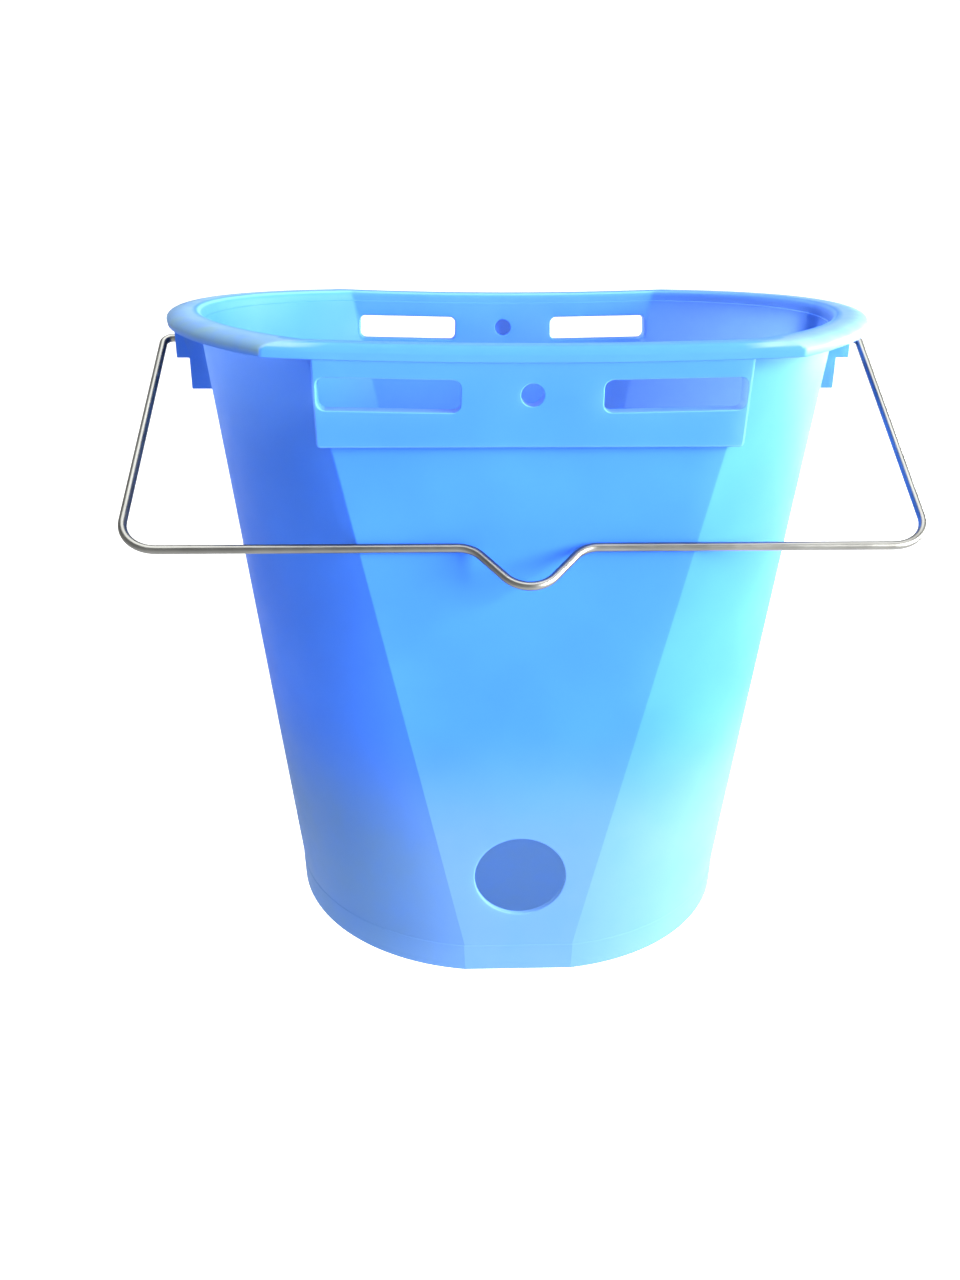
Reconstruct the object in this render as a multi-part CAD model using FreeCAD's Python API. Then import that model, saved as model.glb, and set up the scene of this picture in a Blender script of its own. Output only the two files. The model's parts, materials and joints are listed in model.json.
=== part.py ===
import FreeCAD, Part
import math
import os

# Flat-sided feed bucket: one plastic moulding, split here into the regions a person would name,
# and one bent steel wire bail that swings in the two lugs under the rim.
# Millimetres. +X is the bail's axis, -Y is the front (teat hole side), +Z is up.
# The origin is the centre of the foot, on the ground.
# The rim is a shallow saddle: HEIGHT high in the middle of its flats, SADDLE_RISE higher at its two ends.

# ---- plan outline: two flats joined by round sides ----
# Each outline has a half width on X, a half depth of its flats on Y, and the half length of a flat.
HEIGHT = 282.0
WALL = 2.4
BASE_HALF_WIDTH = 106.2
BASE_HALF_DEPTH = 95.8
BASE_FLAT = 21.5
TOP_HALF_WIDTH = 137.5
TOP_HALF_DEPTH = 108.4
TOP_FLAT = 81.3

# ---- foot and floor ----
FOOT_HEIGHT = 14.0
FOOT_DRAFT = 0.5
FLOOR_UNDERSIDE = 5.0
FLOOR_THICKNESS = 3.0

# ---- rim ----
RIM_HALF_WIDTH = 150.0
RIM_HALF_DEPTH = 117.5
RIM_FLAT = 95.5
RIM_SKIRT = 6.0
RIM_SKIRT_WALL = 2.2
RIM_CORNER_RADIUS = 4.0
RIM_TOP_RADIUS = 3.0
RIM_LOWER_RADIUS = 1.2
FLANGE = 2.4
SADDLE_RISE = 5.0

# ---- hanger pads, front and rear ----
PAD_HALF_WIDTH = 78.3
PAD_BOTTOM = 245.0
PAD_FACE_BOTTOM = 111.1
PAD_FACE_SLOPE = 0.164
PAD_EDGE_RADIUS = 1.2
SLOT_INNER = 25.7
SLOT_OUTER = 77.0
SLOT_BOTTOM = 258.6
SLOT_TOP = 270.4
SLOT_CORNER_RADIUS = 3.0
SLOT_TILT = 1.2
HANGER_HOLE_RADIUS = 4.2
HANGER_HOLE_HEIGHT = 264.5
REAR_HOLE_SKIN = 2.0

# ---- teat hole, on the front flat ----
TEAT_HOLE_RADIUS = 20.0
TEAT_HOLE_HEIGHT = 51.2

# ---- lugs that hold the bail ----
PIVOT_HEIGHT = 271.3
LUG_HALF_DEPTH = 11.0
LUG_WALL = 2.2
LUG_OUTER = 149.0
LUG_STEP_OUTER = 143.5
LUG_STEP_HEIGHT = 264.0
LUG_BOTTOM = 250.5

# ---- bail wire ----
WIRE_RADIUS = 1.75
PIVOT_CLEARANCE = 0.08
BAIL_HALF_WIDTH = 156.0
BAIL_REACH = 125.5
BAIL_END = 141.0
PIVOT_BEND_RADIUS = 4.0
CORNER_BEND_RADIUS = 15.0
DIP_HALF_WIDTH = 21.5
DIP_APEX = 25.8
DIP_BEND_RADIUS = 12.0
REST_CLEARANCE = 0.3

UP = FreeCAD.Vector(0, 0, 1)
ALONG_X = FreeCAD.Vector(1, 0, 0)
ALONG_Y = FreeCAD.Vector(0, 1, 0)
FACET_SLOPE = (TOP_HALF_DEPTH - BASE_HALF_DEPTH) / HEIGHT
FLANGE_UNDERSIDE = HEIGHT - FLANGE
SKIRT_BOTTOM = HEIGHT - RIM_SKIRT
FLOOR_TOP = FLOOR_UNDERSIDE + FLOOR_THICKNESS
OVER_RIM = HEIGHT + 2 * SADDLE_RISE
SADDLE_RADIUS = (RIM_HALF_WIDTH**2 + SADDLE_RISE**2) / (2 * SADDLE_RISE)


def between(low, high, z):
    """A wall dimension at height z, given its values at the base and at the top."""
    return low + (high - low) * z / HEIGHT


def wall_plan(z):
    """Half width, half depth and half flat of the wall's outside at height z."""
    return (
        between(BASE_HALF_WIDTH, TOP_HALF_WIDTH, z),
        between(BASE_HALF_DEPTH, TOP_HALF_DEPTH, z),
        between(BASE_FLAT, TOP_FLAT, z),
    )


def outline(half_width, half_depth, flat, z, inset=0.0):
    """Closed wire of two arcs and two flats at height z, moved inwards by inset."""
    arc_centre = (half_width**2 - flat**2 - half_depth**2) / (2 * (half_width - flat))
    arc_radius = half_width - arc_centre - inset
    y = half_depth - inset
    x = arc_centre + math.sqrt(arc_radius**2 - y**2)
    reach = arc_centre + arc_radius
    corners = [FreeCAD.Vector(sx * x, sy * y, z) for sx, sy in ((1, -1), (1, 1), (-1, 1), (-1, -1))]
    right = Part.Arc(corners[0], FreeCAD.Vector(reach, 0, z), corners[1]).toShape()
    rear = Part.LineSegment(corners[1], corners[2]).toShape()
    left = Part.Arc(corners[2], FreeCAD.Vector(-reach, 0, z), corners[3]).toShape()
    front = Part.LineSegment(corners[3], corners[0]).toShape()
    return Part.Wire([right, rear, left, front])


def tapered_solid(z_low, z_high, inset=0.0):
    """Solid between two heights of the tapering wall outline."""
    low = outline(*wall_plan(z_low), z_low, inset)
    high = outline(*wall_plan(z_high), z_high, inset)
    return Part.makeLoft([low, high], True, True)


def upright_solid(wire, height):
    return Part.Face(wire).extrude(UP * height)


def box(x_low, x_high, y_low, y_high, z_low, z_high):
    corner = FreeCAD.Vector(x_low, y_low, z_low)
    return Part.makeBox(x_high - x_low, y_high - y_low, z_high - z_low, corner)


def saddle_rise(x):
    return SADDLE_RADIUS - math.sqrt(SADDLE_RADIUS**2 - x**2)


def under_saddle(z):
    """Block from below the ground up to the curved level whose height is z at X = 0."""
    reach = RIM_HALF_WIDTH + 10
    end = z + saddle_rise(reach)
    y = -RIM_HALF_DEPTH - 10
    left, middle, right = (FreeCAD.Vector(x, y, h) for x, h in ((-reach, end), (0, z), (reach, end)))
    curve = Part.Arc(left, middle, right).toShape()
    sides = Part.makePolygon([right, FreeCAD.Vector(reach, y, -10), FreeCAD.Vector(-reach, y, -10), left])
    return Part.Face(Part.Wire([curve] + sides.Edges)).extrude(ALONG_Y * -2 * y)


def on_saddle(edge, z):
    """Whether both ends of an edge lie on the curved level whose height is z at X = 0."""
    return all(abs(v.Z - z - saddle_rise(v.X)) < 0.01 for v in edge.Vertexes)


def mirrored_rear(shape):
    """The same shape on the rear side, for features that both flats have."""
    return shape.mirror(FreeCAD.Vector(0, 0, 0), ALONG_Y)


def mirrored_left(shape):
    return shape.mirror(FreeCAD.Vector(0, 0, 0), ALONG_X)


def slanted_edges(shape, wanted):
    """Edges whose two ends both satisfy the given test."""
    return [e for e in shape.Edges if all(wanted(v.Point) for v in e.Vertexes)]


cavity = tapered_solid(0.0, OVER_RIM, WALL)
under_flange = under_saddle(FLANGE_UNDERSIDE)
wall_solid = tapered_solid(FOOT_HEIGHT, OVER_RIM).common(under_flange)
wall_shell = wall_solid.cut(cavity)


def make_floor():
    slab = box(-200, 200, -200, 200, FLOOR_UNDERSIDE, FLOOR_TOP)
    return cavity.common(slab)


def make_foot_ring():
    half_width, half_depth, flat = wall_plan(FOOT_HEIGHT)
    low = outline(half_width - FOOT_DRAFT, half_depth - FOOT_DRAFT, flat - FOOT_DRAFT, 0.0)
    high = outline(half_width, half_depth, flat, FOOT_HEIGHT)
    return Part.makeLoft([low, high], True, True).cut(cavity)


def facet_region():
    """Prism in front of the bucket that follows the two creases, up to the hanger pad."""
    corners = []
    for side, z in ((-1, FOOT_HEIGHT), (1, FOOT_HEIGHT), (1, PAD_BOTTOM), (-1, PAD_BOTTOM)):
        corners.append(FreeCAD.Vector(side * wall_plan(z)[2], -RIM_HALF_DEPTH, z))
    face = Part.Face(Part.makePolygon(corners + corners[:1]))
    return face.extrude(ALONG_Y * RIM_HALF_DEPTH)


def pad_face_y(z):
    return -(PAD_FACE_BOTTOM + PAD_FACE_SLOPE * (z - PAD_BOTTOM))


def pad_region():
    """Block of the front hanger pad, from its slanted face back into the bucket."""
    profile = [
        FreeCAD.Vector(-PAD_HALF_WIDTH, pad_face_y(PAD_BOTTOM), PAD_BOTTOM),
        FreeCAD.Vector(-PAD_HALF_WIDTH, pad_face_y(HEIGHT), HEIGHT),
        FreeCAD.Vector(-PAD_HALF_WIDTH, -BASE_HALF_DEPTH + 2 * WALL, HEIGHT),
        FreeCAD.Vector(-PAD_HALF_WIDTH, -BASE_HALF_DEPTH + 2 * WALL, PAD_BOTTOM),
    ]
    face = Part.Face(Part.makePolygon(profile + profile[:1]))
    return face.extrude(ALONG_X * 2 * PAD_HALF_WIDTH)


def make_front_wall():
    """Front flat with the teat hole bored square to it."""
    plate = wall_shell.common(facet_region())
    outward = FreeCAD.Vector(0, -1, -FACET_SLOPE).normalize()
    face_y = -(BASE_HALF_DEPTH + FACET_SLOPE * TEAT_HOLE_HEIGHT)
    start = FreeCAD.Vector(0, face_y, TEAT_HOLE_HEIGHT) + outward * WALL
    drill = Part.makeCylinder(TEAT_HOLE_RADIUS, 3 * WALL, start, outward * -1)
    return plate.cut(drill)


def make_rear_wall():
    return wall_shell.common(mirrored_rear(facet_region()))


def make_right_wall():
    """Round side from crease to crease, and on each side of the pads above."""
    side = wall_shell.common(box(0, RIM_HALF_WIDTH, -RIM_HALF_DEPTH, RIM_HALF_DEPTH, 0, OVER_RIM))
    for region in (facet_region(), pad_region()):
        side = side.cut(region).cut(mirrored_rear(region))
    return side


def slot_cutter():
    """Long hanger slot on the +X side, with rounded corners, tilted to follow the rim above it."""
    blank = box(SLOT_INNER, SLOT_OUTER, -RIM_HALF_DEPTH - WALL, 0, SLOT_BOTTOM, SLOT_TOP)
    long_edges = [e for e in blank.Edges if abs(e.Vertexes[0].Y - e.Vertexes[1].Y) > 1]
    slot = blank.makeFillet(SLOT_CORNER_RADIUS, long_edges)
    centre = FreeCAD.Vector((SLOT_INNER + SLOT_OUTER) / 2, 0, (SLOT_BOTTOM + SLOT_TOP) / 2)
    slot.rotate(centre, ALONG_Y, -SLOT_TILT)
    return slot


def hanger_hole(end_y):
    """Round hole drilled forwards from the middle of the bucket, as far as end_y."""
    start = FreeCAD.Vector(0, 0, HANGER_HOLE_HEIGHT)
    return Part.makeCylinder(HANGER_HOLE_RADIUS, -end_y, start, ALONG_Y * -1)


def make_hanger_pad(rim, hole):
    pad = pad_region()
    face_edges = slanted_edges(pad, lambda p: abs(p.y - pad_face_y(p.z)) < 0.01)
    face_edges = [e for e in face_edges if min(v.Z for v in e.Vertexes) < FLANGE_UNDERSIDE]
    pad = pad.makeFillet(PAD_EDGE_RADIUS, face_edges).common(under_flange).cut(cavity).cut(rim)
    return pad.cut(hole).cut(slot_cutter()).cut(mirrored_left(slot_cutter()))


def make_rim():
    """Flange with a skirt that hangs from its outer edge, open underneath."""
    plan = (RIM_HALF_WIDTH, RIM_HALF_DEPTH, RIM_FLAT)
    start = FLANGE_UNDERSIDE - 2 * RIM_SKIRT
    blank = upright_solid(outline(*plan, start), OVER_RIM - start)
    corners = [e for e in blank.Edges if abs(e.Vertexes[0].Z - e.Vertexes[-1].Z) > 1]
    blank = blank.makeFillet(RIM_CORNER_RADIUS, corners)
    blank = blank.common(under_saddle(HEIGHT)).cut(under_saddle(SKIRT_BOTTOM))
    blank = blank.makeFillet(RIM_TOP_RADIUS, [e for e in blank.Edges if on_saddle(e, HEIGHT)])
    blank = blank.makeFillet(RIM_LOWER_RADIUS, [e for e in blank.Edges if on_saddle(e, SKIRT_BOTTOM)])
    channel = upright_solid(outline(*plan, start, RIM_SKIRT_WALL), OVER_RIM - start)
    return blank.cut(channel.common(under_flange)).cut(cavity)


def make_right_lug(rim):
    """Two stepped ribs joined by an outer plate, which has the hole for the wire's end."""
    inside = TOP_HALF_WIDTH - 4 * WALL
    upper = box(inside, LUG_OUTER, -LUG_HALF_DEPTH, LUG_HALF_DEPTH, LUG_STEP_HEIGHT, OVER_RIM)
    lower = box(inside, LUG_STEP_OUTER, -LUG_HALF_DEPTH, LUG_HALF_DEPTH, LUG_BOTTOM, LUG_STEP_HEIGHT)
    gap = LUG_HALF_DEPTH - LUG_WALL
    pocket = box(0, LUG_OUTER - LUG_WALL, -gap, gap, 0, OVER_RIM)
    lug = upper.fuse(lower).removeSplitter().cut(pocket).common(under_flange).cut(wall_solid).cut(rim)
    bore_start = FreeCAD.Vector(LUG_OUTER - 2 * LUG_WALL, 0, PIVOT_HEIGHT)
    bore = Part.makeCylinder(WIRE_RADIUS + PIVOT_CLEARANCE, 3 * LUG_WALL, bore_start, ALONG_X)
    return lug.cut(bore)


def rest_angle():
    """Angle of the bail below horizontal when its bar lies against the front flat."""
    lean = math.atan(FACET_SLOPE)
    stand_off = (WIRE_RADIUS + REST_CLEARANCE) / math.cos(lean)
    flat_at_pivot = BASE_HALF_DEPTH + FACET_SLOPE * PIVOT_HEIGHT
    return lean + math.acos((flat_at_pivot + stand_off) * math.cos(lean) / BAIL_REACH)


def rounded_path(points, radii):
    """Wire of straight runs through the points, with an arc of the given radius at each corner."""
    edges = []
    run_start = points[0]
    for before, corner, after, radius in zip(points, points[1:], points[2:], radii):
        to_before = (before - corner).normalize()
        to_after = (after - corner).normalize()
        half_angle = to_before.getAngle(to_after) / 2
        arc_start = corner + to_before * (radius / math.tan(half_angle))
        arc_end = corner + to_after * (radius / math.tan(half_angle))
        bisector = (to_before + to_after).normalize()
        arc_middle = corner + bisector * (radius / math.sin(half_angle) - radius)
        edges.append(Part.LineSegment(run_start, arc_start).toShape())
        edges.append(Part.Arc(arc_start, arc_middle, arc_end).toShape())
        run_start = arc_end
    edges.append(Part.LineSegment(run_start, points[-1]).toShape())
    return Part.Wire(edges)


def make_bail_handle():
    """One wire: pivot end, leg, bar with a hook dip in its middle, leg, pivot end."""
    angle = rest_angle()
    away = FreeCAD.Vector(0, -math.cos(angle), -math.sin(angle))
    pivot = FreeCAD.Vector(0, 0, PIVOT_HEIGHT)

    def at(x, reach):
        return pivot + ALONG_X * x + away * reach

    half = [
        (at(BAIL_END, 0), None),
        (at(BAIL_HALF_WIDTH, 0), PIVOT_BEND_RADIUS),
        (at(BAIL_HALF_WIDTH, BAIL_REACH), CORNER_BEND_RADIUS),
        (at(DIP_HALF_WIDTH, BAIL_REACH), DIP_BEND_RADIUS),
    ]
    other_half = [(FreeCAD.Vector(-p.x, p.y, p.z), r) for p, r in reversed(half)]
    bends = half + [(at(0, BAIL_REACH + DIP_APEX), DIP_BEND_RADIUS)] + other_half
    path = rounded_path([p for p, r in bends], [r for p, r in bends[1:-1]])
    section = Part.Wire(Part.makeCircle(WIRE_RADIUS, at(BAIL_END, 0), ALONG_X))
    return path.makePipeShell([section], True, False)


rim_solid = make_rim()
right_wall = make_right_wall()
through_hole = hanger_hole(-RIM_HALF_DEPTH)
blind_hole = hanger_hole(pad_face_y(HANGER_HOLE_HEIGHT) + REAR_HOLE_SKIN)
right_lug = make_right_lug(rim_solid)

nodes = {
    "floor": make_floor(),
    "foot_ring": make_foot_ring(),
    "front_wall": make_front_wall(),
    "rear_wall": make_rear_wall(),
    "right_wall": right_wall,
    "left_wall": mirrored_left(right_wall),
    "rim": rim_solid,
    "front_hanger_pad": make_hanger_pad(rim_solid, through_hole),
    "rear_hanger_pad": mirrored_rear(make_hanger_pad(rim_solid, blind_hole)),
    "right_lug": right_lug,
    "left_lug": mirrored_left(right_lug),
    "bail_handle": make_bail_handle(),
}

os.makedirs("parts", exist_ok=True)
for name, shape in nodes.items():
    solid = shape.Solids[0] if len(shape.Solids) == 1 else shape
    print(f"{name}: {len(shape.Solids)} solid, {shape.Volume / 1000:.1f} cm3, valid {shape.isValid()}")
    solid.exportStep(f"parts/{name}.step")
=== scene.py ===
import math
import bpy
import bmesh
from mathutils import Matrix, Vector
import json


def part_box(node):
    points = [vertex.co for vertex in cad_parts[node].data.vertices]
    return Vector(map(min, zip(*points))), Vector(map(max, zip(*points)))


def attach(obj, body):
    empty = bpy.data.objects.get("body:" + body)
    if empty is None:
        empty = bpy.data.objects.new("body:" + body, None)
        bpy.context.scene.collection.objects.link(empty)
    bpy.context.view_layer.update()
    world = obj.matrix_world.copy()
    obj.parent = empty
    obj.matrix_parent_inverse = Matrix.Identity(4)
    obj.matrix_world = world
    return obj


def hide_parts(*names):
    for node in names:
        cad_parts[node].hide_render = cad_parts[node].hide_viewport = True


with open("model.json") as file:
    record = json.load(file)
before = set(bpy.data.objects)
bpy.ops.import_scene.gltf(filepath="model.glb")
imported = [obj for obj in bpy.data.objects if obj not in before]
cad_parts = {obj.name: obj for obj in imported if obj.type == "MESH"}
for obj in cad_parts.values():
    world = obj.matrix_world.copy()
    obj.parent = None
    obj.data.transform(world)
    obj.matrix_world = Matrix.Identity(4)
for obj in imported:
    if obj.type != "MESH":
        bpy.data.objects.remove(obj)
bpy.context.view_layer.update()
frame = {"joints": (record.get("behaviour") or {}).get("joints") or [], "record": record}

# Shapes are written in millimetres, in the CAD's own frame, and scaled once when a mesh is made.
MM = 0.001

# ---- wall: flats and round sides, tapering from base to top ----
# A plan is the outline's half width, its half depth and half the length of its flats.
HEIGHT = 282.0
WALL = 2.4
BASE_PLAN = (106.2, 95.8, 21.5)
TOP_PLAN = (137.5, 108.4, 81.3)
CREASE_OUTSIDE = 2.0
CREASE_INSIDE = 4.0

# ---- foot and floor ----
FOOT_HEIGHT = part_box("foot_ring")[1].z / MM
FOOT_DRAFT = 0.5
FOOT_PROUD = 0.25
FOOT_EDGE = 0.8
# Insets of the foot's upper rings, and how far they are below its top.
FOOT_RINGS = ((0.0, 7.0), (0.0, 0.6), (0.08, 0.3))
FLOOR_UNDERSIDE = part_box("floor")[0].z / MM
FLOOR_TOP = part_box("floor")[1].z / MM
FLOOR_FILLET = 4.0
UNDERSIDE_FILLET = 1.5
# Flat floors have rings at these shares of their size, so that no face is very large.
FLOOR_RINGS = (0.35, 0.7)

# ---- rim ----
RIM_PLAN = (150.0, 117.5, 95.5)
RIM_CORNER = 3.5
RIM_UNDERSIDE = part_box("rim")[0].z / MM
SKIRT_WALL = 2.2
SKIRT_FILLET = 1.0
# The skirt's inside has one more ring, this far under the flange.
SKIRT_MIDDLE = 2.5
FLANGE_UNDERSIDE = HEIGHT - 2.4
FLANGE_FILLET = 1.6
# How far the bead curves inwards along the round sides and along the flats.
BEAD_INSETS = (8.0, 2.4)
BEAD_HEIGHT = 3.6
BEAD_STEPS = 9
MOUTH_RADIUS = 2.5
# The wall is a little thinner at the mouth: from how far below the top, and by how much.
MOUTH_STEP = (5.0, 0.4)
# The cavity's cutter flares out above the top: how high, and how far.
MOUTH_FLARE = (0.15, 0.988)
CAVITY_TOP = HEIGHT + 20.0
# Rings across the top carry the saddle inwards, where the cavity is cut away.
TOP_INSETS = (10.0, 16.0, 40.0)

# The rim is a shallow saddle: its two ends on X are higher than its middle.
# The wall follows it from SADDLE_START up.
SADDLE_RISE = 5.0
SADDLE_RADIUS = (RIM_PLAN[0] ** 2 + SADDLE_RISE**2) / (2 * SADDLE_RISE)
SADDLE_START = 225.0

# ---- hanger pads ----
PAD_LOW, PAD_HIGH = (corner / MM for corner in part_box("front_hanger_pad"))
PAD_BOTTOM = PAD_LOW.z
PAD_FACE_BOTTOM = 111.1
PAD_FACE_SLOPE = 0.164
PAD_TOP = HEIGHT - 1.0
PAD_BACK = -60.0
# Radii: around the pad's face, at its corners, and where its cuts meet the face and the inner wall.
PAD_EDGE = 1.0
PAD_CORNER = 1.6
SLOT_EDGE = 0.6
INNER_EDGE = 0.7
SLOT_SPAN = (25.7, 77.0)
SLOT_RISE = (258.6, 270.4)
SLOT_CORNER = 3.0
SLOT_TILT = math.radians(1.2)
# Where on Y the cutters of the pad start and end.
PAD_CUT_SPAN = (-130.0, -80.0)
HANGER_HOLE_RADIUS = 4.2
HANGER_HOLE_HEIGHT = 264.5
# The round hole's edges are this share as wide as a slot's.
HANGER_HOLE_SHARPNESS = 0.6
REAR_HOLE_SKIN = 2.0
# The blind hole's end has rings smaller than the hole by these.
BLIND_END_RINGS = (3.0, 1.5, 0.0)

# ---- teat hole ----
TEAT_HOLE_RADIUS = 20.0
TEAT_HOLE_HEIGHT = 51.2
# Radii of its outer and inner edge, and how far its cutter reaches to each side.
TEAT_HOLE_EDGES = (0.6, 0.5)
TEAT_CUT_REACH = 15.0

# ---- lugs ----
LUG_HALF_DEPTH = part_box("right_lug")[1].y / MM
LUG_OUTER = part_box("right_lug")[1].x / MM
LUG_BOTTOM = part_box("right_lug")[0].z / MM
LUG_WALL = 2.2
LUG_STEP_OUTER = 143.5
LUG_STEP_HEIGHT = 264.0
LUG_INSIDE = TOP_PLAN[0] - 4 * WALL
LUG_TOP = HEIGHT + SADDLE_RISE * 0.6
LUG_OVERLAP = 1.0
LUG_EDGE = 0.45
PIVOT_HEIGHT = frame["joints"][0]["pos_m"][2] / MM
PIVOT_HOLE_RADIUS = 1.83
PIVOT_HOLE_MOUTH = 0.4
PIVOT_CUT_REACH = 5.0

# ---- bail ----
WIRE_RADIUS = 1.75
# Half the distance between its legs, the distance from its axis to its bar, and where its ends are on X.
BAIL_HALF_WIDTH = 156.0
BAIL_REACH = 125.5
BAIL_END = 141.0
PIVOT_BEND = 4.0
CORNER_BEND = 15.0
DIP_HALF_WIDTH = 21.5
DIP_APEX = 25.8
DIP_BEND = 12.0
# Rings that round off the wire's end: how far back from it, and their share of the radius.
WIRE_END_RINGS = ((0.5, 0.98), (0.15, 0.86), (0.0, 0.66))
# The first full ring is this far from the end.
WIRE_END_BACK = 0.9

# ---- fineness of the mesh ----
FLAT_STEPS = 10
CREASE_STEPS = 5
SIDE_STEPS = 30
WALL_RINGS = 32
TEAT_HOLE_SIDES = 96
HANGER_HOLE_SIDES = 48
PIVOT_HOLE_SIDES = 32
BEND_STEPS = 14
WIRE_SIDES = 24
# A cutter's flare is drawn at these angles, and goes on to a little above the face.
FLARE_ANGLES = (0, 20, 40, 60, 78)
FLARE_ABOVE = 0.1
# Faces that meet at less than these angles are shaded as one surface.
BUCKET_SOFT_UNDER = math.radians(38)
WIRE_SOFT_UNDER = math.radians(50)

# ---- where the plastic is scuffed with a painted sheen, and where its edges have a painted highlight, which its material reads ----
# Scuffs and their painted sheen start this far above the rim's lower edge, end this far in from its
# outside, and spare the flats.
SCUFF_SHEEN_ABOVE = 0.5
SCUFF_SHEEN_INSET = 11.0
SCUFF_SHEEN_OFF_FLAT = 0.2
# The mouth's edge gets a painted highlight at these depths below its top, and out to this far beyond its
# curve.
MOUTH_HIGHLIGHT_DEPTHS = (0.02, 0.7)
MOUTH_HIGHLIGHT_OUT = 0.3
# The pad's edges get a painted highlight at these depths behind its face, a little past its outline,
# below the rim.
PAD_HIGHLIGHT_DEPTHS = (0.03, 0.65 * PAD_EDGE)
PAD_HIGHLIGHT_MARGIN = 0.1
PAD_HIGHLIGHT_TOP = RIM_UNDERSIDE - 1.0
PAD_HIGHLIGHT_SHARE = 0.6


# ======================================================================= plan outlines

def mix(a, b, t):
    return a + (b - a) * t


def wall_plan(z):
    """Half width, half depth and half flat of the wall's outside at height z."""
    return tuple(mix(low, high, z / HEIGHT) for low, high in zip(BASE_PLAN, TOP_PLAN))


def foot_plan(z):
    """Plan of the foot, which stands a little proud of the wall and has a draft of its own."""
    proud = FOOT_PROUD - FOOT_DRAFT * (1 - z / FOOT_HEIGHT)
    return tuple(size + proud for size in wall_plan(FOOT_HEIGHT))


def arc_centre(plan):
    """Where on X the centre of a plan's right-hand arc is."""
    half_width, half_depth, flat = plan
    return (half_width**2 - flat**2 - half_depth**2) / (2 * (half_width - flat))


def outside(plan, x, y):
    """How far (x, y) is outside a plan's flats or round sides. It is negative inside."""
    centre = arc_centre(plan)
    return max(abs(y) - plan[1], math.hypot(abs(x) - centre, y) - (plan[0] - centre))


def quarter(plan, inset, crease):
    """Points of one quarter of an outline, from the middle of a flat to the side."""
    half_width, half_depth = plan[:2]
    centre = arc_centre(plan)
    radius = half_width - centre - inset
    depth = half_depth - inset
    crease_x = centre + math.sqrt((radius - crease) ** 2 - (depth - crease) ** 2)
    side_angle = math.atan2(depth - crease, crease_x - centre)
    points = []
    for i in range(FLAT_STEPS):
        points.append((crease_x * i / FLAT_STEPS, depth))
    for i in range(CREASE_STEPS):
        angle = mix(math.pi / 2, side_angle, i / CREASE_STEPS)
        points.append((crease_x + crease * math.cos(angle), depth + crease * (math.sin(angle) - 1)))
    for i in range(SIDE_STEPS + 1):
        angle = side_angle * (1 - i / SIDE_STEPS)
        points.append((centre + radius * math.cos(angle), radius * math.sin(angle)))
    return points


def saddle(x):
    """How much higher the rim is at x than at its middle."""
    return SADDLE_RADIUS - math.sqrt(SADDLE_RADIUS**2 - x**2)


def ring(plan, z, inset=0.0, crease=CREASE_OUTSIDE):
    """Closed ring of points at height z."""
    first = quarter(plan, inset, crease)
    around = [(1, 1, p) for p in reversed(first)]
    around += [(-1, 1, p) for p in first[1:]]
    around += [(-1, -1, p) for p in reversed(first[:-1])]
    around += [(1, -1, p) for p in first[1:-1]]
    points = []
    for sx, sy, (x, y) in around:
        points.append(Vector((sx * x, sy * y, z)))
    return points


def rim_ring(plan, z, inset=0.0, crease=CREASE_OUTSIDE):
    """Ring that follows the rim's saddle, upright above its plan."""
    return [Vector((p.x, p.y, p.z + saddle(p.x))) for p in ring(plan, z, inset, crease)]


def wall_ring(z, inset=0.0, crease=CREASE_OUTSIDE):
    """Ring of the leaning wall, slid up it above SADDLE_START to follow the rim."""
    share = min(max((z - SADDLE_START) / (FLANGE_UNDERSIDE - SADDLE_START), 0.0), 1.0)
    share = share * share * (3 - 2 * share)
    here = ring(wall_plan(z), z, inset, crease)
    above = ring(wall_plan(z + 1), z + 1, inset, crease)
    points = []
    for low, high in zip(here, above):
        up = saddle(low.x) * share
        points.append(Vector((mix(low.x, high.x, up), mix(low.y, high.y, up), low.z + up)))
    return points


def scaled(points, factor):
    return [Vector((p.x * factor, p.y * factor, p.z)) for p in points]


def even(low, high, count):
    return [mix(low, high, i / (count - 1)) for i in range(count)]


def rounding(radius, angles):
    """Steps (inwards, down) of a rounded edge: 0 degrees is where its side starts, 90 its top."""
    steps = []
    for degrees in angles:
        angle = math.radians(degrees)
        steps.append((radius * (1 - math.cos(angle)), radius * (1 - math.sin(angle))))
    return steps


# ======================================================================= mesh helpers

def new_object(name, mesh):
    thing = bpy.data.objects.new(name, mesh)
    bpy.context.scene.collection.objects.link(thing)
    return thing


def loft(name, rings):
    """Closed mesh through rings of equal length, with a face on each end."""
    mesh = bpy.data.meshes.new(name)
    work = bmesh.new()
    rows = [[work.verts.new(p * MM) for p in points] for points in rings]
    count = len(rows[0])
    for low, high in zip(rows, rows[1:]):
        for i in range(count):
            j = (i + 1) % count
            work.faces.new((low[i], low[j], high[j], high[i]))
    work.faces.new(list(reversed(rows[0])))
    work.faces.new(rows[-1])
    bmesh.ops.recalc_face_normals(work, faces=work.faces)
    work.to_mesh(mesh)
    work.free()
    return new_object(name, mesh)


def combine(base, operand, operation):
    """Joins operand to base, or cuts it away, and removes it."""
    modifier = base.modifiers.new("combine", "BOOLEAN")
    modifier.operation = operation
    modifier.solver = "EXACT"
    modifier.object = operand
    graph = bpy.context.evaluated_depsgraph_get()
    made = bpy.data.meshes.new_from_object(base.evaluated_get(graph))
    base.modifiers.clear()
    base.data = made
    bpy.data.objects.remove(operand)


def facing_rear(points):
    """The same loop turned half way round the bucket's axis."""
    return [Vector((-p.x, -p.y, p.z)) for p in points]


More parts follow.
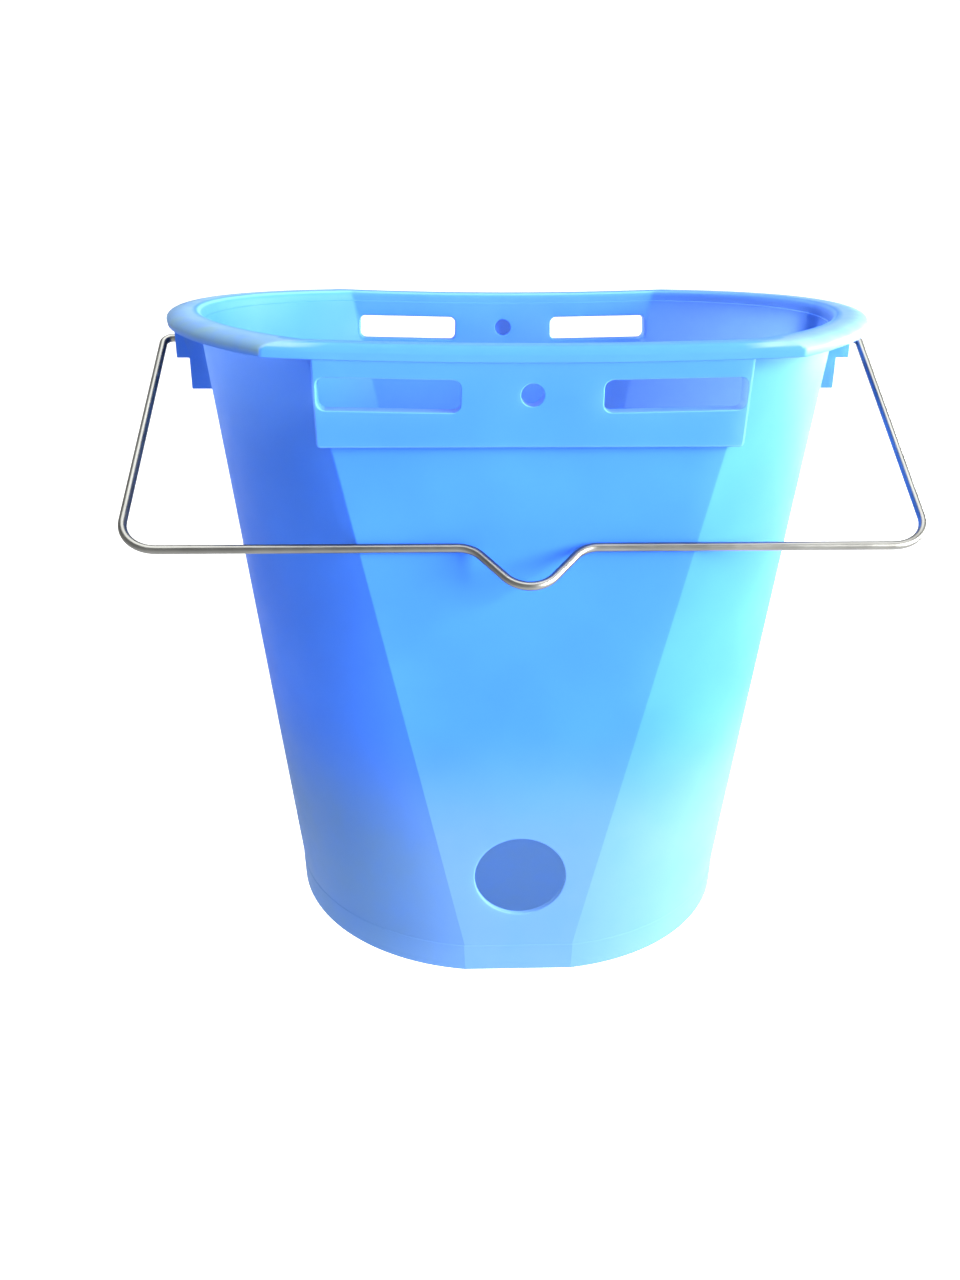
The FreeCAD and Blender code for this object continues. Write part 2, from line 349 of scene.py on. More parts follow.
def rounded_rectangle(x_span, z_span, radius, inset=0.0, steps=5):
    """Points (x, z) of a rectangle with round corners, moved inwards by inset."""
    x_low, x_high = x_span[0] + inset, x_span[1] - inset
    z_low, z_high = z_span[0] + inset, z_span[1] - inset
    radius = max(radius - inset, 0.05)
    points = []
    corners = (
        (x_high, z_low, 1, -1, 270),
        (x_high, z_high, 1, 1, 0),
        (x_low, z_high, -1, 1, 90),
        (x_low, z_low, -1, -1, 180),
    )
    for x, z, sx, sz, start in corners:
        for i in range(steps + 1):
            angle = math.radians(start + 90 * i / steps)
            points.append((x + radius * (math.cos(angle) - sx), z + radius * (math.sin(angle) - sz)))
    return points


def circle(x, z, radius, sides):
    angles = [2 * math.pi * i / sides for i in range(sides)]
    return [(x + radius * math.cos(angle), z + radius * math.sin(angle)) for angle in angles]


def flare(radius):
    """Steps (depth below the face, widening) of a cutter that leaves a rounded edge."""
    steps = [(depth, wide) for wide, depth in rounding(radius, FLARE_ANGLES)]
    last_depth, last_wide = steps[-1]
    slope = math.tan(math.radians(FLARE_ANGLES[-1]))
    steps.append((-FLARE_ABOVE, last_wide + (last_depth + FLARE_ABOVE) * slope))
    return steps


# ======================================================================= bucket moulding

def outer_body():
    """Everything outside the cavity as one closed solid, up to the flat top of the rim."""
    inset = WALL + UNDERSIDE_FILLET
    under = ring(wall_plan(FLOOR_UNDERSIDE), FLOOR_UNDERSIDE, inset, CREASE_INSIDE)
    rings = [scaled(under, share) for share in FLOOR_RINGS] + [under]
    for inward, down in rounding(UNDERSIDE_FILLET, (45, 0)):
        rings.append(ring(wall_plan(0), FLOOR_UNDERSIDE - down, WALL + inward, CREASE_INSIDE))
    for inward, down in rounding(FOOT_EDGE, (0, 45, 90)):
        rings.append(ring(wall_plan(0), down, WALL - inward, CREASE_INSIDE))
    for inward, up in rounding(FOOT_EDGE, (90, 45, 0)):
        rings.append(ring(foot_plan(up), up, inward))
    for inward, below_top in FOOT_RINGS:
        z = FOOT_HEIGHT - below_top
        rings.append(ring(foot_plan(z), z, inward))
    for z in even(FOOT_HEIGHT, FLANGE_UNDERSIDE - FLANGE_FILLET, WALL_RINGS):
        rings.append(wall_ring(z))
    for outward, down in rounding(FLANGE_FILLET, (45, 90)):
        rings.append(wall_ring(FLANGE_UNDERSIDE - down, -outward))
    for inward, down in rounding(SKIRT_FILLET, (90, 45, 0)) + [(0.0, SKIRT_MIDDLE)]:
        z = FLANGE_UNDERSIDE - down
        rings.append(rim_ring(RIM_PLAN, z, SKIRT_WALL + inward, RIM_CORNER - SKIRT_WALL))
    lip = SKIRT_WALL / 2
    for degrees in (45, 90, 135):
        angle = math.radians(degrees)
        inset = lip + lip * math.cos(angle)
        z = RIM_UNDERSIDE + lip - lip * math.sin(angle)
        rings.append(rim_ring(RIM_PLAN, z, inset, RIM_CORNER - inset))
    side_inset, flat_inset = BEAD_INSETS
    for inward, down in rounding(1.0, even(0, 90, BEAD_STEPS)):
        rings.append(rim_level(side_inset * inward, flat_inset * inward, BEAD_HEIGHT * down))
    for inset in TOP_INSETS:
        rings.append(rim_ring(RIM_PLAN, HEIGHT, inset, CREASE_INSIDE))
    return loft("bucket_moulding", rings)


def rim_level(side_inset, flat_inset, below_top):
    """Ring of the rim with its round sides and its flats moved in by different amounts."""
    half_width = RIM_PLAN[0] - side_inset
    depth = RIM_PLAN[1] - flat_inset
    centre = arc_centre(RIM_PLAN)
    crease = centre + math.sqrt((half_width - centre) ** 2 - depth**2)
    return rim_ring((half_width, depth, crease), HEIGHT - below_top, 0, RIM_CORNER)


def cavity_body():
    """The inside of the bucket, flared at the mouth so that the lip is round."""
    inset = WALL + FLOOR_FILLET
    floor_ring = ring(wall_plan(FLOOR_TOP), FLOOR_TOP, inset, CREASE_INSIDE)
    rings = [scaled(floor_ring, share) for share in FLOOR_RINGS]
    for inward, up in rounding(FLOOR_FILLET, (90, 67.5, 45, 22.5)):
        z = FLOOR_TOP + up
        rings.append(ring(wall_plan(z), z, WALL + inward, CREASE_INSIDE))
    step_below, step_out = MOUTH_STEP
    for z in even(FLOOR_TOP + FLOOR_FILLET, HEIGHT - step_below, WALL_RINGS):
        rings.append(wall_ring(z, WALL, CREASE_INSIDE))
    for z in even(HEIGHT - step_below + step_out, HEIGHT - MOUTH_RADIUS, 3)[:-1]:
        rings.append(wall_ring(z, WALL - step_out, CREASE_INSIDE))
    lip = rounding(MOUTH_RADIUS, (0, 16, 32, 48, 64, 78))
    for outward, down in lip:
        rings.append(wall_ring(HEIGHT - down, WALL - step_out - outward, CREASE_INSIDE))
    flare_above, flare_out = MOUTH_FLARE
    inset = WALL - step_out - lip[-1][0] - flare_out
    rings.append(wall_ring(HEIGHT + flare_above, inset, CREASE_INSIDE))
    rings.append([Vector((p.x, p.y, CAVITY_TOP)) for p in rings[-1]])
    return loft("cavity", rings)


def pad_face_y(z):
    """Where on Y the front pad's leaning face is at height z."""
    return -(PAD_FACE_BOTTOM + PAD_FACE_SLOPE * (z - PAD_BOTTOM))


def inner_wall_y(z):
    """Where on Y the inside of the front flat is at height z."""
    return -(wall_plan(z)[1] - WALL)


def pad_body():
    """Hanger pad with rounded edges on its face. Its back is inside the bucket."""
    x_span = (PAD_LOW.x, PAD_HIGH.x)
    z_span = (PAD_BOTTOM, PAD_TOP)
    back = rounded_rectangle(x_span, z_span, PAD_CORNER)
    loops = [[Vector((x, PAD_BACK, z)) for x, z in back]]
    for inset, depth in rounding(PAD_EDGE, (0, 22.5, 45, 67.5, 90)):
        loop = rounded_rectangle(x_span, z_span, PAD_CORNER, inset)
        loops.append([Vector((x, pad_face_y(z) + depth, z)) for x, z in loop])
    return loops


def pad_cutter(shape, through=True):
    """Loops of a cut in the pad, from outside in. shape(widening) gives its points (x, z)."""
    outer_end, inner_end = PAD_CUT_SPAN
    loops = []
    if through:
        for depth, wide in reversed(flare(SLOT_EDGE)):
            loops.append([Vector((x, pad_face_y(z) + depth, z)) for x, z in shape(wide)])
        loops.insert(0, [Vector((p.x, outer_end, p.z)) for p in loops[0]])
    else:
        for shrink in BLIND_END_RINGS:
            points = shape(-shrink)
            loops.append([Vector((x, pad_face_y(z) + REAR_HOLE_SKIN, z)) for x, z in points])
    for depth, wide in flare(INNER_EDGE):
        loops.append([Vector((x, inner_wall_y(z) - depth, z)) for x, z in shape(wide)])
    loops.append([Vector((p.x, inner_end, p.z)) for p in loops[-1]])
    return loops


def slot_shape(side):
    """Shape of a long slot, tilted so that its outer end is higher."""
    middle_x, middle_z = sum(SLOT_SPAN) / 2, sum(SLOT_RISE) / 2

    def shape(wide):
        points = []
        for x, z in rounded_rectangle(SLOT_SPAN, SLOT_RISE, SLOT_CORNER, -wide):
            across, up = x - middle_x, z - middle_z
            turned_x = middle_x + across * math.cos(SLOT_TILT) - up * math.sin(SLOT_TILT)
            turned_z = middle_z + across * math.sin(SLOT_TILT) + up * math.cos(SLOT_TILT)
            points.append((side * turned_x, turned_z))
        return points

    return shape


def hanger_hole_shape(wide):
    radius = HANGER_HOLE_RADIUS + wide * HANGER_HOLE_SHARPNESS
    return circle(0, HANGER_HOLE_HEIGHT, radius, HANGER_HOLE_SIDES)


def teat_cutter():
    """Loops of the round cut through the front flat, square to it."""
    slope = (TOP_PLAN[1] - BASE_PLAN[1]) / HEIGHT
    outward = Vector((0, -1, -slope)).normalized()
    upward = Vector((0, -slope, 1)).normalized()
    face = Vector((0, -wall_plan(TEAT_HOLE_HEIGHT)[1], TEAT_HOLE_HEIGHT))
    thickness = -WALL * outward.y
    outer_edge, inner_edge = TEAT_HOLE_EDGES
    outer = [(-depth, wide) for depth, wide in reversed(flare(outer_edge))]
    inner = [(depth - thickness, wide) for depth, wide in flare(inner_edge)]
    stations = [(TEAT_CUT_REACH, outer[0][1])] + outer + inner + [(-TEAT_CUT_REACH, inner[-1][1])]
    loops = []
    for out, wide in stations:
        centre = face + outward * out
        points = circle(0, 0, TEAT_HOLE_RADIUS + wide, TEAT_HOLE_SIDES)
        loops.append([centre + Vector((x, 0, 0)) + upward * z for x, z in points])
    return loops


def beveled_plate(name, outline, y_low, y_high, width):
    """Flat plate with the given outline (x, z), its edges rounded."""
    plate = loft(name, [[Vector((x, y, z)) for x, z in outline] for y in (y_low, y_high)])
    modifier = plate.modifiers.new("edges", "BEVEL")
    modifier.width = width * MM
    modifier.segments = 2
    modifier.limit_method = "ANGLE"
    graph = bpy.context.evaluated_depsgraph_get()
    made = bpy.data.meshes.new_from_object(plate.evaluated_get(graph))
    plate.modifiers.clear()
    plate.data = made
    return plate


def add_lug(bucket, side):
    """Two stepped ribs and the outer plate that the wire's end goes through."""
    rib = [
        (LUG_INSIDE, LUG_BOTTOM),
        (LUG_STEP_OUTER, LUG_BOTTOM),
        (LUG_STEP_OUTER, LUG_STEP_HEIGHT),
        (LUG_OUTER, LUG_STEP_HEIGHT),
        (LUG_OUTER, LUG_TOP),
        (LUG_INSIDE, LUG_TOP),
    ]
    plate = [
        (LUG_OUTER - LUG_WALL, LUG_STEP_HEIGHT),
        (LUG_OUTER, LUG_STEP_HEIGHT),
        (LUG_OUTER, LUG_TOP),
        (LUG_OUTER - LUG_WALL, LUG_TOP),
    ]
    gap = LUG_HALF_DEPTH - LUG_WALL
    pieces = (
        (rib, -LUG_HALF_DEPTH, -gap),
        (rib, gap, LUG_HALF_DEPTH),
        (plate, -gap - LUG_OVERLAP, gap + LUG_OVERLAP),
    )
    for outline, y_low, y_high in pieces:
        placed = [(side * x, z) for x, z in outline]
        combine(bucket, beveled_plate("lug", placed, y_low, y_high, LUG_EDGE), "UNION")


def lug_cutter(side):
    """Loops of the round hole in a lug's outer plate, a little wider at its mouth."""
    mouth = PIVOT_HOLE_MOUTH
    loops = []
    for wide, out in (
        (mouth, PIVOT_CUT_REACH),
        (mouth, FLARE_ABOVE),
        (0.0, -mouth),
        (0.0, -2 * LUG_WALL),
    ):
        points = circle(0, PIVOT_HEIGHT, PIVOT_HOLE_RADIUS + wide, PIVOT_HOLE_SIDES)
        loops.append([Vector((side * (LUG_OUTER + out), y, z)) for y, z in points])
    return loops


def on_bead(place):
    """Whether a point is on the outside of the rim, along one of its round sides."""
    centre = arc_centre(RIM_PLAN)
    out = math.hypot(abs(place.x) - centre, place.y) - (RIM_PLAN[0] - centre)
    above = place.z - saddle(place.x) - RIM_UNDERSIDE
    off_flat = RIM_PLAN[1] - abs(place.y)
    return above > SCUFF_SHEEN_ABOVE and out > -SCUFF_SHEEN_INSET and off_flat > SCUFF_SHEEN_OFF_FLAT


def edge_highlight_amount(place):
    """How much painted highlight a point gets on an edge: 1 along the mouth, less on the pads."""
    below_top = HEIGHT + saddle(place.x) - place.z
    beyond_mouth = outside(TOP_PLAN, place.x, place.y) - (MOUTH_RADIUS - WALL)
    if MOUTH_HIGHLIGHT_DEPTHS[0] < below_top < MOUTH_HIGHLIGHT_DEPTHS[1] and beyond_mouth < MOUTH_HIGHLIGHT_OUT:
        return 1.0
    within_width = abs(place.x) < PAD_HIGH.x + PAD_HIGHLIGHT_MARGIN
    within_height = PAD_BOTTOM - PAD_HIGHLIGHT_MARGIN < place.z < PAD_HIGHLIGHT_TOP
    behind_face = abs(pad_face_y(place.z)) - abs(place.y)
    if within_width and within_height and PAD_HIGHLIGHT_DEPTHS[0] < behind_face < PAD_HIGHLIGHT_DEPTHS[1]:
        return PAD_HIGHLIGHT_SHARE
    return 0.0


def mark(bucket, name, amount):
    """Stores amount(point) for each vertex under a name that a material can read."""
    values = bucket.data.attributes.new(name, "FLOAT", "POINT").data
    for vertex, value in zip(bucket.data.vertices, values):
        value.value = float(amount(vertex.co / MM))


def make_bucket():
    """The whole moulding as one mesh: its body, its pads and lugs, then its cavity and holes."""
    bucket = outer_body()
    combine(bucket, loft("pad", pad_body()), "UNION")
    combine(bucket, loft("pad", [facing_rear(loop) for loop in pad_body()]), "UNION")
    for side in (-1, 1):
        add_lug(bucket, side)
        combine(bucket, loft("pivot", lug_cutter(side)), "DIFFERENCE")
    combine(bucket, cavity_body(), "DIFFERENCE")
    # Each cut goes through the front pad. The round one stops short in the rear pad.
    cuts = ((slot_shape(-1), True), (slot_shape(1), True), (hanger_hole_shape, False))
    for shape, through_rear in cuts:
        combine(bucket, loft("cut", pad_cutter(shape)), "DIFFERENCE")
        rear = [facing_rear(loop) for loop in pad_cutter(shape, through_rear)]
        combine(bucket, loft("cut", rear), "DIFFERENCE")
    combine(bucket, loft("teat", teat_cutter()), "DIFFERENCE")
    # Scuffs with a painted sheen of grazing reflection along the round sides of the bead.
    mark(bucket, "scuff_and_sheen", on_bead)
    # Painted highlight along the mouth's and the pads' edges.
    mark(bucket, "edge", edge_highlight_amount)
    bucket.data.shade_smooth()
    bucket.data.set_sharp_from_angle(angle=BUCKET_SOFT_UNDER)
    shading = bucket.modifiers.new("shading", "WEIGHTED_NORMAL")
    shading.keep_sharp = True
    shading.weight = 100
    return bucket


# ======================================================================= bail

def rest_direction():
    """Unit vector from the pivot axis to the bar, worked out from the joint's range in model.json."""
    turn = math.radians(frame["joints"][0]["range_deg"][1] - 180) / 2
    return Vector((0, -math.cos(turn), -math.sin(turn)))


def bail_path():
    """Centreline: straight runs with an arc at each bend, as closely spaced points."""
    away = rest_direction()
    pivot = Vector((0, 0, PIVOT_HEIGHT))
    half = [
        (BAIL_END, 0, None),
        (BAIL_HALF_WIDTH, 0, PIVOT_BEND),
        (BAIL_HALF_WIDTH, BAIL_REACH, CORNER_BEND),
        (DIP_HALF_WIDTH, BAIL_REACH, DIP_BEND),
    ]
    other_half = [(-x, reach, bend) for x, reach, bend in reversed(half)]
    bends = half + [(0, BAIL_REACH + DIP_APEX, DIP_BEND)] + other_half
    corners = [pivot + Vector((x, 0, 0)) + away * reach for x, reach, bend in bends]
    path = [corners[0]]
    for i in range(1, len(corners) - 1):
        before, corner, after, bend = corners[i - 1], corners[i], corners[i + 1], bends[i][2]
        to_before = (before - corner).normalized()
        to_after = (after - corner).normalized()
        half_angle = to_before.angle(to_after) / 2
        centre = corner + (to_before + to_after).normalized() * (bend / math.sin(half_angle))
        start = corner + to_before * (bend / math.tan(half_angle)) - centre
        end = corner + to_after * (bend / math.tan(half_angle)) - centre
        for step in range(BEND_STEPS + 1):
            path.append(centre + start.slerp(end, step / BEND_STEPS).normalized() * bend)
    path.append(corners[-1])
    return path


def end_cap(tip, ring_points, outward):
    """Shrinking rings that round off the wire's end."""
    caps = []
    for back, share in WIRE_END_RINGS:
        caps.append([tip + outward * -back + (p - tip) * share for p in ring_points])
    return caps


def make_bail():
    """Round wire along the centreline, with slightly rounded ends."""
    path = bail_path()
    side = rest_direction().cross(Vector((1, 0, 0))).normalized()
    angles = even(0, 2 * math.pi, WIRE_SIDES + 1)[:-1]
    rings = []
    for i, point in enumerate(path):
        before, after = path[max(i - 1, 0)], path[min(i + 1, len(path) - 1)]
        across = (after - before).normalized().cross(side).normalized()
        around = [across * math.cos(angle) + side * math.sin(angle) for angle in angles]
        rings.append([point + spoke * WIRE_RADIUS for spoke in around])
    first = (path[0] - path[1]).normalized()
    last = (path[-1] - path[-2]).normalized()
    start_cap = list(reversed(end_cap(path[0], rings[0], first)))
    finish_cap = end_cap(path[-1], rings[-1], last)
    rings[0] = [p - first * WIRE_END_BACK for p in rings[0]]
    rings[-1] = [p - last * WIRE_END_BACK for p in rings[-1]]
    bail = loft("bail_wire", start_cap + rings + finish_cap)
    bail.data.shade_smooth()
    bail.data.set_sharp_from_angle(angle=WIRE_SOFT_UNDER)
    return bail


# ======================================================================= materials

BLUES = ((0.3, (0.0245, 0.116, 0.56, 1)), (0.7, (0.0325, 0.143, 0.64, 1)))
# Painted highlight for the mouth's and the pads' edges.
EDGE_HIGHLIGHT_TINT = (0.075, 0.215, 0.72, 1)
# Scuffs on the bead, with a painted sheen where it reflects grazing light.
SCUFF_AND_SHEEN_TINT = (0.13, 0.225, 0.22, 1)
# Painted reflection of the floor, paler and greyer low on the wall.
FLOOR_REFLECTION_TINT = (0.072, 0.155, 0.32, 1)
SHINE_THROUGH = (0.40, 0.57, 0.80, 1)
SHINE_THROUGH_SHARE = 0.36
PLASTIC_ROUGHNESS = (0.42, 0.54)
PLASTIC_GRAIN_STRENGTH = 0.12
PLASTIC_GRAIN_DEPTH = 0.0002
# Heights in metres between which the painted floor reflection grows from none to its most.
FLOOR_REFLECTION_HEIGHTS = (0.13, 0.055)

STEEL_GREYS = ((0.3, (0.105, 0.105, 0.097, 1)), (0.7, (0.15, 0.15, 0.14, 1)))
STEEL_ROUGHNESS = (0.30, 0.38)

# Noise textures: scale, detail and, for some, roughness.
CLOUDS = (18.0, 6.0)
SCUFF_SHEEN_NOISE = (90.0, 6.0, 0.65)
FLOOR_REFLECTION_MOTTLE = (45.0, 8.0, 0.7)
WEAR = (60.0, 6.0, 0.6)
GRAIN = (900.0, 2.0)
STEEL_CLOUDS = (60.0, 3.0)
STEEL_WEAR = (120.0, 3.0)

# Most of what a noise texture gives lies between these.
NOISE_RANGE = (0.3, 0.7)
# How much of the scuffs with their painted sheen, and of the painted floor reflection, is there where the
# noise is low, and where it is high.
SCUFF_SHEEN_SHARE = (0.55, 1.0)
FLOOR_REFLECTION_MOTTLE_SHARE = (0.75, 1.0)


def shader(name, **values):
    """A material, its nodes and links, and its Principled shader with constant values set."""
    material = bpy.data.materials.new(name)
    material.use_nodes = True
    nodes, links = material.node_tree.nodes, material.node_tree.links
    bsdf = nodes["Principled BSDF"]
    for socket, value in values.items():
        bsdf.inputs[socket.replace("_", " ")].default_value = value
    return material, nodes, links, bsdf


def noise(nodes, links, coordinates, scale, detail, roughness=0.5):
    texture = nodes.new("ShaderNodeTexNoise")
    texture.inputs["Scale"].default_value = scale
    texture.inputs["Detail"].default_value = detail
    texture.inputs["Roughness"].default_value = roughness
    links.new(coordinates, texture.inputs["Vector"])
    return texture.outputs["Fac"]


def ramp(nodes, links, value, stops):
    element = nodes.new("ShaderNodeValToRGB")
    for stop, (position, colour) in zip(element.color_ramp.elements, stops):
        stop.position, stop.color = position, colour
    for position, colour in stops[2:]:
        element.color_ramp.elements.new(position).color = colour
    links.new(value, element.inputs["Fac"])
    return element.outputs["Color"]


def remap(nodes, links, value, before, after, smooth=False):
    """The value, carried from one range to another."""
    element = nodes.new("ShaderNodeMapRange")
    if smooth:
        element.interpolation_type = "SMOOTHSTEP"
    for end, (low, high) in (("From", before), ("To", after)):
        element.inputs[end + " Min"].default_value = low
        element.inputs[end + " Max"].default_value = high
    links.new(value, element.inputs["Value"])
    return element.outputs["Result"]


def calculate(nodes, links, operation, first, second):
    element = nodes.new("ShaderNodeMath")
    element.operation = operation
    links.new(first, element.inputs[0])
    links.new(second, element.inputs[1])
    return element.outputs["Value"]


def measure(nodes, links, operation, place, vector):
    """Dot product or distance between a place and a fixed vector."""
    element = nodes.new("ShaderNodeVectorMath")
    element.operation = operation
    element.inputs[1].default_value = vector
    links.new(place, element.inputs[0])
    return element.outputs["Value"]


def attribute(nodes, name):
    element = nodes.new("ShaderNodeAttribute")
    element.attribute_name = name
    return element.outputs["Fac"]


def painted(nodes, links, under, colour, amount):
    """The colour under, with another over it by an amount from 0 to 1."""
    element = nodes.new("ShaderNodeMix")
    element.data_type = "RGBA"
    links.new(amount, element.inputs["Factor"])
    links.new(under, element.inputs["A"])
    element.inputs["B"].default_value = colour
    return element.outputs["Result"]


def plastic_material():
    """Semi-gloss blue plastic that lets some light through.

    It has painted highlights on its thin edges, scuffs with a painted sheen on the bead, and a painted
    reflection of the floor low down."""
    material, nodes, links, bsdf = shader("blue_polypropylene", IOR=1.49, Specular_IOR_Level=0.07)
    place = nodes.new("ShaderNodeTexCoord").outputs["Object"]
    colour = ramp(nodes, links, noise(nodes, links, place, *CLOUDS), BLUES)
    # Painted highlight on the mouth's and the pads' edges.
    colour = painted(nodes, links, colour, EDGE_HIGHLIGHT_TINT, attribute(nodes, "edge"))

    # Scuffs on the bead, with a painted sheen of grazing reflection.
    scuff_sheen = noise(nodes, links, place, *SCUFF_SHEEN_NOISE)
    scuff_sheen = remap(nodes, links, scuff_sheen, NOISE_RANGE, SCUFF_SHEEN_SHARE)
    amount = calculate(nodes, links, "MULTIPLY", attribute(nodes, "scuff_and_sheen"), scuff_sheen)
    colour = painted(nodes, links, colour, SCUFF_AND_SHEEN_TINT, amount)

    # Painted reflection of the floor: paler and greyer towards the bottom, mottled by noise.
    height = nodes.new("ShaderNodeSeparateXYZ")
    links.new(place, height.inputs["Vector"])
    low = remap(nodes, links, height.outputs["Z"], FLOOR_REFLECTION_HEIGHTS, (0, 1), smooth=True)
    reflection_mottle = noise(nodes, links, place, *FLOOR_REFLECTION_MOTTLE)
    reflection_mottle = remap(nodes, links, reflection_mottle, NOISE_RANGE, FLOOR_REFLECTION_MOTTLE_SHARE)
    amount = calculate(nodes, links, "MULTIPLY", low, reflection_mottle)
    colour = painted(nodes, links, colour, FLOOR_REFLECTION_TINT, amount)
    links.new(colour, bsdf.inputs["Base Color"])

    wear = noise(nodes, links, place, *WEAR)
    links.new(remap(nodes, links, wear, NOISE_RANGE, PLASTIC_ROUGHNESS), bsdf.inputs["Roughness"])
    bump = nodes.new("ShaderNodeBump")
    bump.inputs["Strength"].default_value = PLASTIC_GRAIN_STRENGTH
    bump.inputs["Distance"].default_value = PLASTIC_GRAIN_DEPTH
    links.new(noise(nodes, links, place, *GRAIN), bump.inputs["Height"])
    links.new(bump.outputs["Normal"], bsdf.inputs["Normal"])

    through = nodes.new("ShaderNodeBsdfTranslucent")
    through.inputs["Color"].default_value = SHINE_THROUGH
    both = nodes.new("ShaderNodeMixShader")
    both.inputs["Fac"].default_value = SHINE_THROUGH_SHARE
    links.new(bsdf.outputs["BSDF"], both.inputs[1])
    links.new(through.outputs["BSDF"], both.inputs[2])
    links.new(both.outputs["Shader"], nodes["Material Output"].inputs["Surface"])
    return material


def steel_material():
    """Drawn steel wire, slightly uneven in tone and gloss."""
    material, nodes, links, bsdf = shader("steel_wire", Metallic=1.0)
    place = nodes.new("ShaderNodeTexCoord").outputs["Object"]
    colour = ramp(nodes, links, noise(nodes, links, place, *STEEL_CLOUDS), STEEL_GREYS)
    links.new(colour, bsdf.inputs["Base Color"])
    wear = noise(nodes, links, place, *STEEL_WEAR)
    links.new(remap(nodes, links, wear, NOISE_RANGE, STEEL_ROUGHNESS), bsdf.inputs["Roughness"])
    return material


# ======================================================================= stage

FLOOR_HALF_SIZE = 60.0
FLOOR_GREY = (0.25, 0.25, 0.25, 1)
# The floor glows, and less so to the front and to the left: direction, start and end of each fade.
FLOOR_GLOW = 0.7
FLOOR_FAR_GLOW = 0.28
FLOOR_FADES = (((0, -1, 0), 0.27, 0.75), ((-1, -0.49, 0), 0.36, 0.75))
# Around the bucket there is a brighter pool.
FLOOR_POOL_GLOW = 1.1
FLOOR_POOL_CENTRE = (0.1, -0.12, 0)
FLOOR_POOL_RADII = (0.15, 0.42)

# Brightness of the studio by height above the horizon, given as the sine of the elevation.
SKY = ((0.0, 1.1), (0.35, 1.1), (0.6, 0.5), (0.8, 0.4), (0.93, 8.5))
SKY_PEAK = 10.0
# The studio is a little darker to the left: the direction's X where that ends and starts,
# and how much brightness is left there.
DARK_SIDE = (-0.7, -0.43)
DARK_SIDE_SHARE = 0.8


# Lights: name, place, target and size in metres, and power in watts.
LIGHTS = (
    ("key", (1.73, -1.0, 0.72), (0, 0, 0.15), (1.5, 1.0), 355),
    ("fill", (1.3, 0.75, 0.3), (0, 0, 0.2), (0.8, 0.5), 72),
)

# The camera's place in metres, its turns, and its lens in millimetres.
CAMERA_PLACE = (-0.031, -0.510, 0.330)
CAMERA_YAW = math.radians(1.8)
CAMERA_PITCH = math.radians(21.9)
CAMERA_ROLL = math.radians(0.2)
CAMERA_LENS = 31.0


def make_floor():
    """Wide flat pale floor that reaches the horizon."""
    mesh = bpy.data.meshes.new("floor")
    work = bmesh.new()
    bmesh.ops.create_grid(work, x_segments=8, y_segments=8, size=FLOOR_HALF_SIZE)
    work.to_mesh(mesh)
    work.free()
    floor = new_object("stage_floor", mesh)
    material, nodes, links, bsdf = shader(
        "pale_floor", Base_Color=FLOOR_GREY, Roughness=0.9, Emission_Color=(1, 1, 1, 1)
    )
    place = nodes.new("ShaderNodeTexCoord").outputs["Object"]
    fades = []
    for direction, start, end in FLOOR_FADES:
        along = measure(nodes, links, "DOT_PRODUCT", place, direction)
        fades.append(remap(nodes, links, along, (start, end), (FLOOR_GLOW, FLOOR_FAR_GLOW), smooth=True))
    least = calculate(nodes, links, "MINIMUM", *fades)
    distance = measure(nodes, links, "DISTANCE", place, FLOOR_POOL_CENTRE)
    pool = remap(nodes, links, distance, FLOOR_POOL_RADII, (FLOOR_POOL_GLOW, 0), smooth=True)
    links.new(calculate(nodes, links, "ADD", least, pool), bsdf.inputs["Emission Strength"])
    mesh.materials.append(material)


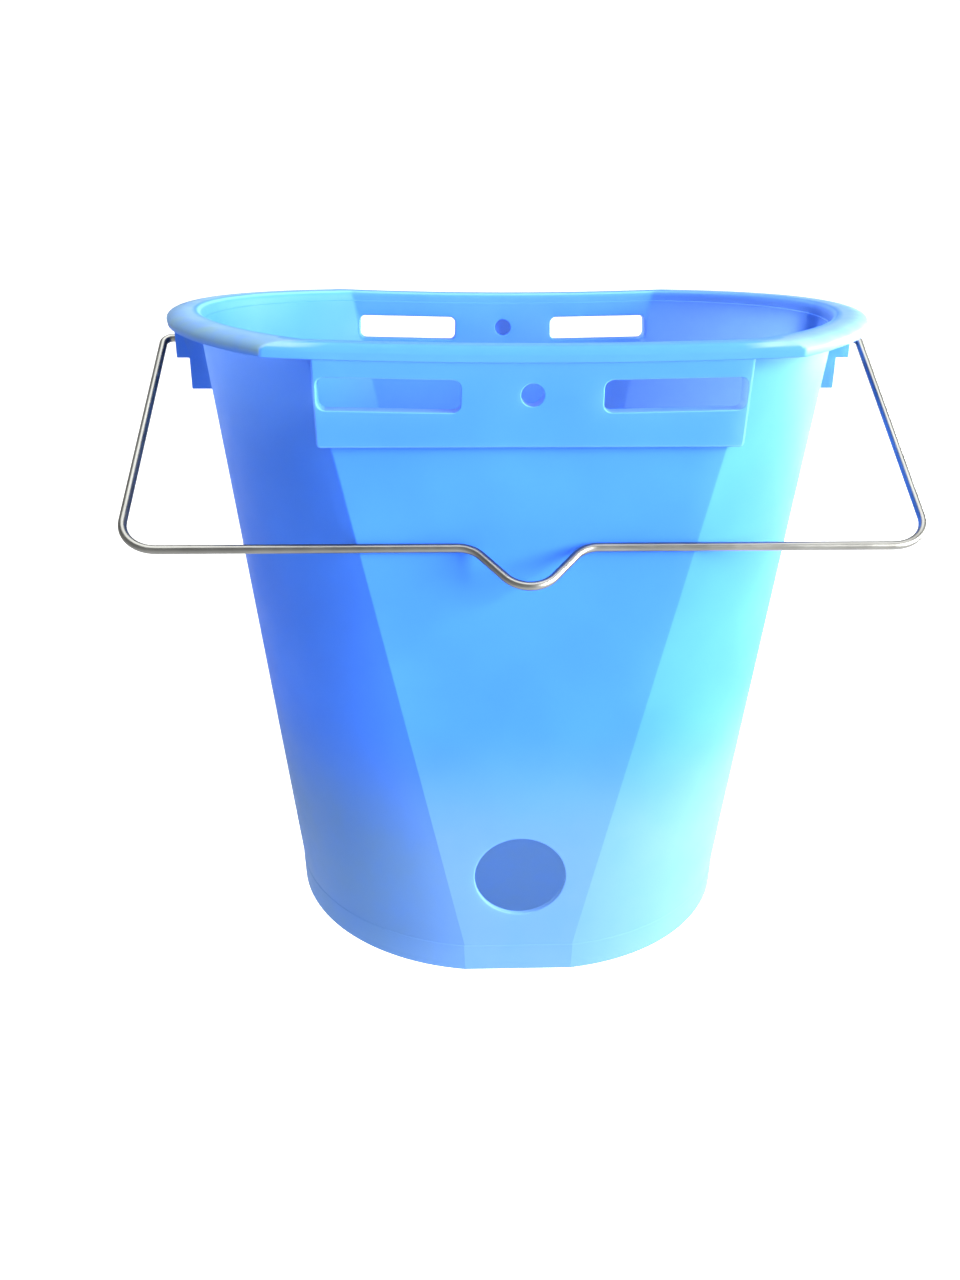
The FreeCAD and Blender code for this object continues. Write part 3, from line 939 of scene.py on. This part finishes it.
def make_world():
    """Even pale studio with a bright patch overhead."""
    world = bpy.data.worlds.new("studio")
    world.use_nodes = True
    nodes, links = world.node_tree.nodes, world.node_tree.links
    direction = nodes.new("ShaderNodeSeparateXYZ")
    links.new(nodes.new("ShaderNodeTexCoord").outputs["Generated"], direction.inputs["Vector"])
    stops = [(sine, (brightness / SKY_PEAK,) * 3 + (1,)) for sine, brightness in SKY]
    colour = ramp(nodes, links, direction.outputs["Z"], stops)
    links.new(colour, nodes["Background"].inputs["Color"])
    shares = (DARK_SIDE_SHARE * SKY_PEAK, SKY_PEAK)
    strength = remap(nodes, links, direction.outputs["X"], DARK_SIDE, shares)
    links.new(strength, nodes["Background"].inputs["Strength"])
    bpy.context.scene.world = world


def add_light(name, place, target, size, power):
    """Rectangular light at a place, aimed at a target."""
    light = bpy.data.lights.new(name, "AREA")
    light.shape = "RECTANGLE"
    light.size, light.size_y = size
    light.energy = power
    thing = new_object(name, light)
    thing.location = place
    aim = Vector(target) - Vector(place)
    thing.rotation_euler = aim.to_track_quat("-Z", "Y").to_euler()


def make_lights():
    """Studio and lights, with colours shown as they are."""
    make_world()
    for light in LIGHTS:
        add_light(*light)
    bpy.context.scene.view_settings.view_transform = "Standard"


def make_camera():
    """Camera above the front, looking down a little."""
    data = bpy.data.cameras.new("camera")
    data.lens = CAMERA_LENS
    data.sensor_width = 36.0
    camera = new_object("camera", data)
    forward = Vector((
        math.sin(CAMERA_YAW) * math.cos(CAMERA_PITCH),
        math.cos(CAMERA_YAW) * math.cos(CAMERA_PITCH),
        -math.sin(CAMERA_PITCH),
    ))
    level = Vector((math.cos(CAMERA_YAW), -math.sin(CAMERA_YAW), 0))
    upright = level.cross(forward)
    right = level * math.cos(CAMERA_ROLL) + upright * math.sin(CAMERA_ROLL)
    up = upright * math.cos(CAMERA_ROLL) - level * math.sin(CAMERA_ROLL)
    turned = Matrix((right, up, -forward)).transposed().to_4x4()
    camera.matrix_world = Matrix.Translation(CAMERA_PLACE) @ turned
    bpy.context.scene.camera = camera


make_camera()
make_lights()
make_floor()

bucket = make_bucket()
bucket.data.materials.clear()
bucket.data.materials.append(plastic_material())
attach(bucket, "bucket")
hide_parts(*frame["record"]["behaviour"]["bodies"]["bucket"])

bail = make_bail()
bail.data.materials.append(steel_material())
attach(bail, "bail")
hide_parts("bail_handle")
